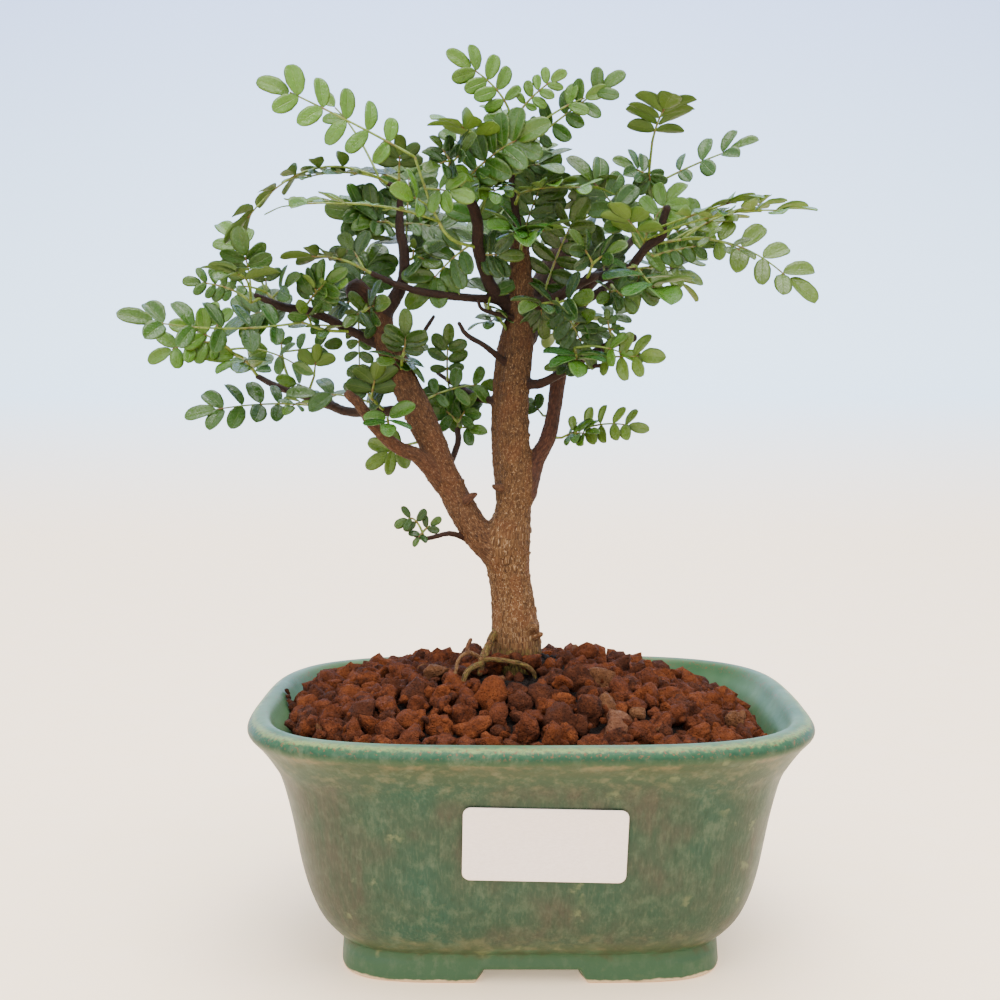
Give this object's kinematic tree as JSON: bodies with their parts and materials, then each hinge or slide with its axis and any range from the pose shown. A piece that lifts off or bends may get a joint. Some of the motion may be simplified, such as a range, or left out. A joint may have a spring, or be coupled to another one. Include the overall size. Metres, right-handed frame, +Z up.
{
  "type": "chinese pepper bonsai in a glazed pot",
  "caption": "Small two-stemmed bonsai tree with pinnate leaves, rooted in coarse granules in an oblong glazed pot with feet and a blank label.",
  "frame": {"origin": "under the middle of tree and pot together, in the plane the pot stands on", "axes": "+Z up, +X to the right and -Y towards the viewer who faces the label"},
  "size_m": [0.18, 0.1284, 0.243],
  "materials": {
    "glaze": "gloss",
    "screen_plastic": "matte",
    "label_paper": "satin",
    "granules": "matte",
    "bark": "matte",
    "leaf_lime": "satin",
    "leaf_light": "satin",
    "leaf_pale": "satin",
    "leaf_bright": "satin",
    "leaf_mid": "satin",
    "leaf_silver": "satin",
    "leaf_dark": "satin"
  },
  "bodies": {
    "root": {"pot": "glaze", "drain_screen_left": "screen_plastic", "drain_screen_right": "screen_plastic", "paper_label": "label_paper", "soil_granules": "granules", "tree_wood": "bark", "shoot_top_left": "leaf_lime", "leaf_arch_left": "leaf_mid", "tuft_leader_top": "leaf_dark", "shoot_top": "leaf_lime", "leaf_top_right": "leaf_mid", "shoot_right_top": "leaf_mid", "shoot_right": "leaf_lime", "leaf_far_right": "leaf_pale", "leaf_right_small": "leaf_mid", "leaf_right_pale": "leaf_pale", "tuft_right_big": "leaf_bright", "tuft_right_fan": "leaf_bright", "leaf_right_mid": "leaf_pale", "leaf_right_low": "leaf_pale", "leaf_mid_right": "leaf_mid", "leaf_upright": "leaf_mid", "tuft_fork": "leaf_mid", "leaf_limb_front": "leaf_dark", "tuft_limb_left": "leaf_dark", "tuft_stub": "leaf_bright", "leaf_hanging": "leaf_pale", "tuft_low": "leaf_dark", "shoot_far_left": "leaf_mid", "shoot_left_tip": "leaf_mid", "leaf_left_rise": "leaf_mid", "shoot_left_low": "leaf_light", "leaf_low_left": "leaf_mid", "leaf_left_inner": "leaf_light", "leaf_left_round": "leaf_mid", "leaf_cross_tip": "leaf_dark", "leaf_left_lime": "leaf_lime", "tuft_stub_left": "leaf_dark", "tuft_left_back": "leaf_dark", "tuft_leader_mid": "leaf_mid", "tuft_leader_right": "leaf_dark", "tuft_dark_leader": "leaf_dark", "tuft_centre": "leaf_bright", "leaf_centre_lime": "leaf_lime", "tuft_silver": "leaf_silver", "leaf_right_silver": "leaf_silver", "tuft_front_fork": "leaf_dark", "tuft_front_inner": "leaf_dark", "tuft_right_inner": "leaf_mid", "tuft_right_stub": "leaf_mid", "tuft_back_crown": "leaf_dark", "tuft_back_right": "leaf_mid", "tuft_back_side": "leaf_mid", "tuft_back_left": "leaf_dark", "tuft_back_limb": "leaf_mid", "tuft_back_mid": "leaf_dark", "tuft_back_low": "leaf_mid"}
  },
  "joints": []
}
